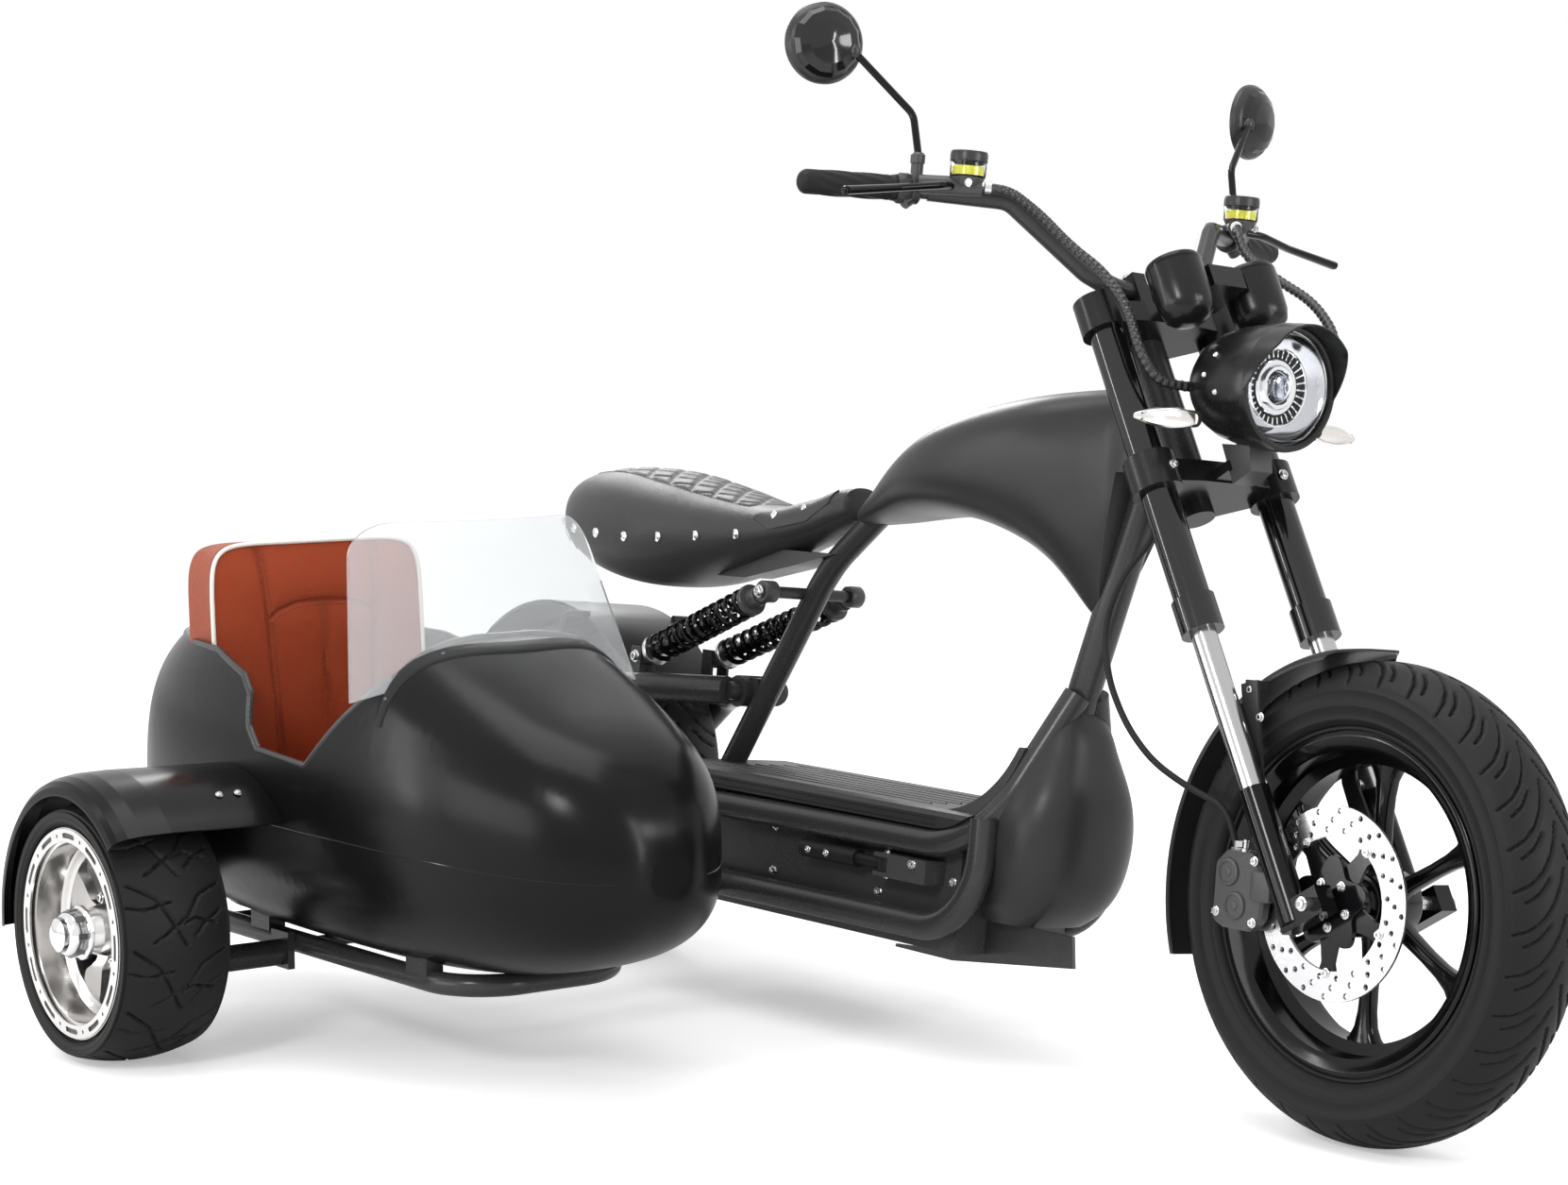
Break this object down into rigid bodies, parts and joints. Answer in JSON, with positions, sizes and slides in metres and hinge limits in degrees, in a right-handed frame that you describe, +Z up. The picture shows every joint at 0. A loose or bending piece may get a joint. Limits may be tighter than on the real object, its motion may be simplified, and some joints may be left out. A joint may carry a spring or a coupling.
{
  "type": "sidecar motorcycle",
  "caption": "Low electric chopper motorcycle with a raked fork, arched shell and teardrop saddle, joined on its right to a small egg-shaped open sidecar.",
  "frame": {"origin": "on the ground, at the centre of the bounding box's base", "axes": "+X forward, +Y to the rider's left, +Z up"},
  "size_m": [2.1018, 1.5132, 1.3094],
  "materials": {
    "shell_paint": "satin",
    "sidecar_paint": "gloss",
    "brown_leather": "satin",
    "frame_black": "gloss",
    "cast_black": "satin",
    "chrome": "polished",
    "steel": "brushed",
    "tyre": "matte",
    "rubber": "matte",
    "seat_leather": "satin",
    "black_plastic": "matte",
    "clear_glass": "clear",
    "red_lens": "gloss"
  },
  "bodies": {
    "chassis": {"tank_shell": "shell_paint", "main_frame": "frame_black", "rail_right": "frame_black", "rail_left": "frame_black", "seat_stays": "frame_black", "front_shell": "shell_paint", "skid_plate": "steel", "battery_box": "cast_black", "deck": "rubber", "saddle_bracket": "cast_black", "saddle": "seat_leather", "swingarm": "frame_black", "rear_shocks": "cast_black", "rear_fender": "shell_paint", "tail_lamp": "red_lens", "rear_axle": "steel", "rear_caliper": "cast_black", "sidecar_frame": "frame_black", "sidecar_struts": "frame_black", "sidecar_tub": "sidecar_paint", "windshield": "clear_glass", "seat_back": "brown_leather", "seat_base": "brown_leather", "axle_arm": "frame_black", "side_axle": "steel", "side_fender": "black_plastic"},
    "steering": {"upper_clamp": "cast_black", "lower_clamp": "cast_black", "fork_tubes": "chrome", "fork_covers": "cast_black", "fork_castings": "cast_black", "front_axle": "steel", "front_caliper": "cast_black", "front_fender": "shell_paint", "handlebar": "frame_black", "grips": "rubber", "control_right": "black_plastic", "control_left": "black_plastic", "mirrors": "black_plastic", "headlight": "black_plastic", "headlight_lens": "clear_glass", "instrument_pods": "black_plastic", "turn_signals": "chrome", "control_cables": "rubber", "brake_hose": "rubber"},
    "front_wheel": {"front_tyre": "tyre", "front_rim": "cast_black", "front_disc": "steel"},
    "rear_wheel": {"rear_tyre": "tyre", "rear_rim": "cast_black", "rear_disc": "steel"},
    "side_wheel": {"side_tyre": "tyre", "side_rim": "chrome"},
    "side_stand": {"side_stand": "frame_black"},
    "foot_peg_right": {"foot_peg_right": "rubber"},
    "foot_peg_left": {"foot_peg_left": "rubber"}
  },
  "joints": [
    {"name": "steering_turn", "type": "hinge", "parent": "chassis", "child": "steering", "pos_m": [0.36484, 0.30523, 0.8065], "axis": [-0.515, 0.0896, 0.8525], "range_deg": [-30, 30]},
    {"name": "front_wheel_spin", "type": "hinge", "parent": "steering", "child": "front_wheel", "pos_m": [0.7771, 0.24914, 0.27288], "axis": [0, 0.9945, -0.1045], "continuous": true},
    {"name": "rear_wheel_spin", "type": "hinge", "parent": "chassis", "child": "rear_wheel", "pos_m": [-0.8129, 0.24559, 0.23907], "axis": [0, 0.9945, -0.1045], "continuous": true},
    {"name": "side_wheel_spin", "type": "hinge", "parent": "chassis", "child": "side_wheel", "pos_m": [-0.4799, -0.6795, 0.165], "axis": [0, 1, 0], "continuous": true},
    {"name": "side_stand_swing", "type": "hinge", "parent": "chassis", "child": "side_stand", "pos_m": [-0.1229, 0.39127, 0.12321], "axis": [0, -0.9847, -0.1741], "range_deg": [0, 90]},
    {"name": "foot_peg_right_fold", "type": "hinge", "parent": "chassis", "child": "foot_peg_right", "pos_m": [0.0451, 0.13232, 0.23288], "axis": [0, 0.1045, 0.9945], "range_deg": [0, 90]},
    {"name": "foot_peg_left_fold", "type": "hinge", "parent": "chassis", "child": "foot_peg_left", "pos_m": [0.0451, 0.35509, 0.20946], "axis": [0, -0.1045, -0.9945], "range_deg": [0, 90]}
  ]
}
